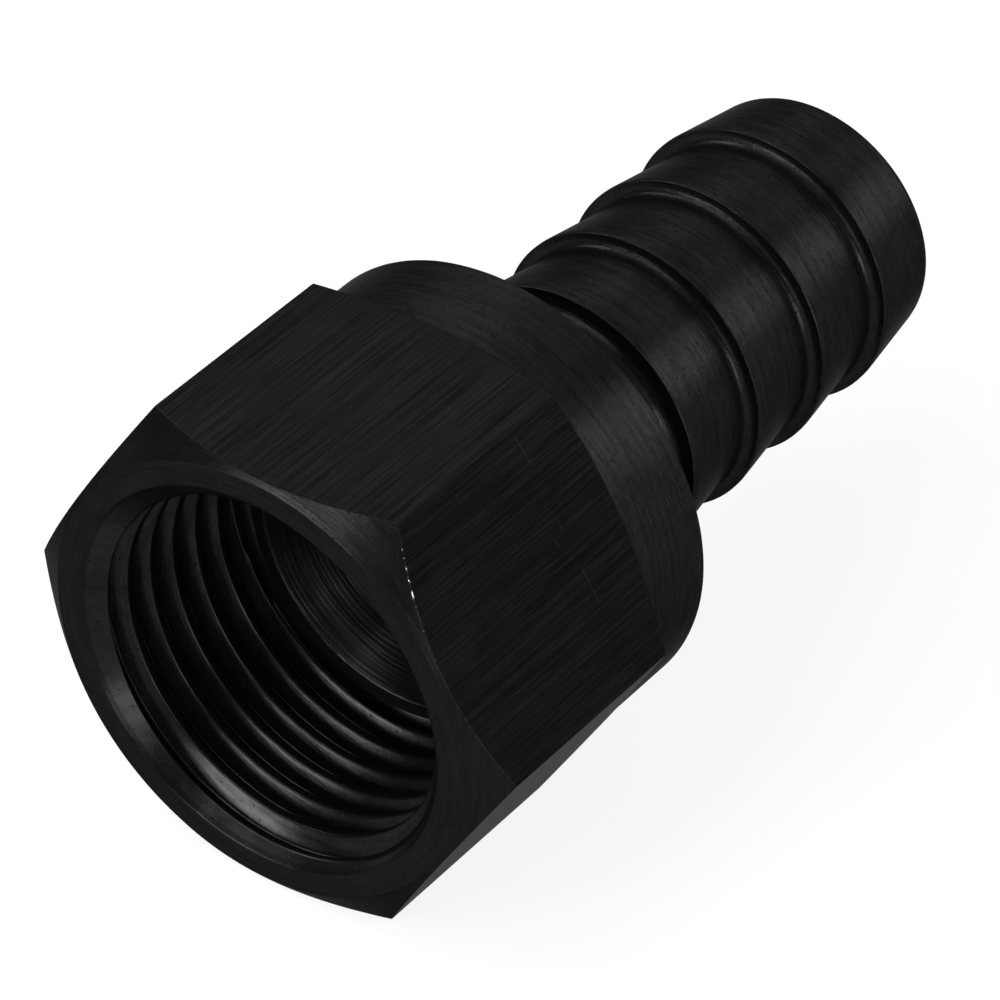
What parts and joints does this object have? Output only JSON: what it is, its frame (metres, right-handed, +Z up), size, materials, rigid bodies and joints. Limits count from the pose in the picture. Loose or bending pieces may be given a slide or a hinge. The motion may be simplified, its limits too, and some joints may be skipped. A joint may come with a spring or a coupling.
{
  "type": "swivel hose barb",
  "caption": "Swivel hose barb: a black hexagon nut with an internal thread turns freely on a short tube with ridged barbs that a hose pushes onto.",
  "frame": {"origin": "on the ground under the middle of the fitting, which lies on one flat of the nut's hexagon", "axes": "+Y along the common axis from the nut's mouth to the end of the barbs, +Z up, square to the flat that it lies on"},
  "size_m": [0.0256, 0.0426, 0.0222],
  "materials": {
    "nut_metal": "black anodised over turned and brushed aluminium, bright where the edges are worn",
    "tail_metal": "black anodised over fine turning marks, with small bright nicks on the barbs' edges"
  },
  "bodies": {
    "nut": {"swivel_nut": "nut_metal"},
    "tail": {"hose_tail": "tail_metal"}
  },
  "joints": [
    {"name": "nut_swivel", "type": "hinge", "parent": "nut", "child": "tail", "pos_m": [0, 0, 0.01111], "axis": [0, 1, 0], "continuous": true}
  ]
}
